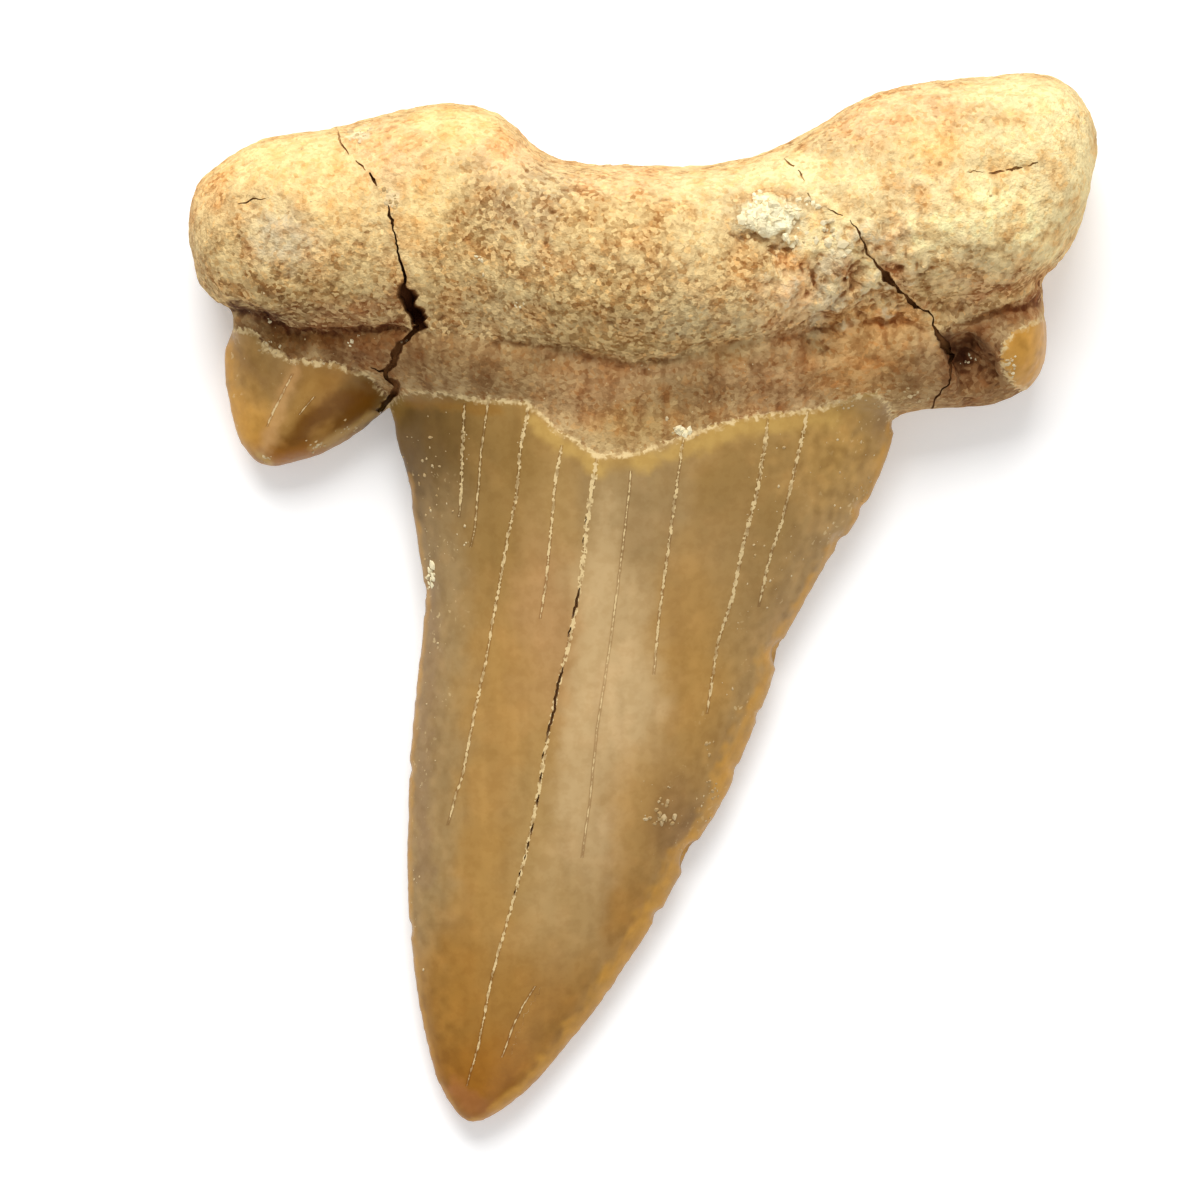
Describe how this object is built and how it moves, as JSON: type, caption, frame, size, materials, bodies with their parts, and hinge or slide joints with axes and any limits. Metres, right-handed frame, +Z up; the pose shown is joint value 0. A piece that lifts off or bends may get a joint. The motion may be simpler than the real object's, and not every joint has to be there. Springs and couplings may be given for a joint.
{
  "type": "fossil shark tooth",
  "caption": "Fossil shark tooth lying on its flat lip-side face, with a broad two-lobed root, a slanting blade-like crown, one whole side cusp and one broken side cusp.",
  "frame": {"origin": "middle of the tooth's box, on the surface that it lies on", "axes": "+Y from the crown's tip towards the root, +X to the right when the swollen tongue side is seen with the root above, +Z up out of the swollen tongue side"},
  "size_m": [0.0476, 0.055, 0.0137],
  "materials": {
    "fossil_tooth": "matt, grainy root; smooth, half-gloss enamel"
  },
  "bodies": {
    "root": {"shark_tooth": "fossil_tooth"}
  },
  "joints": []
}
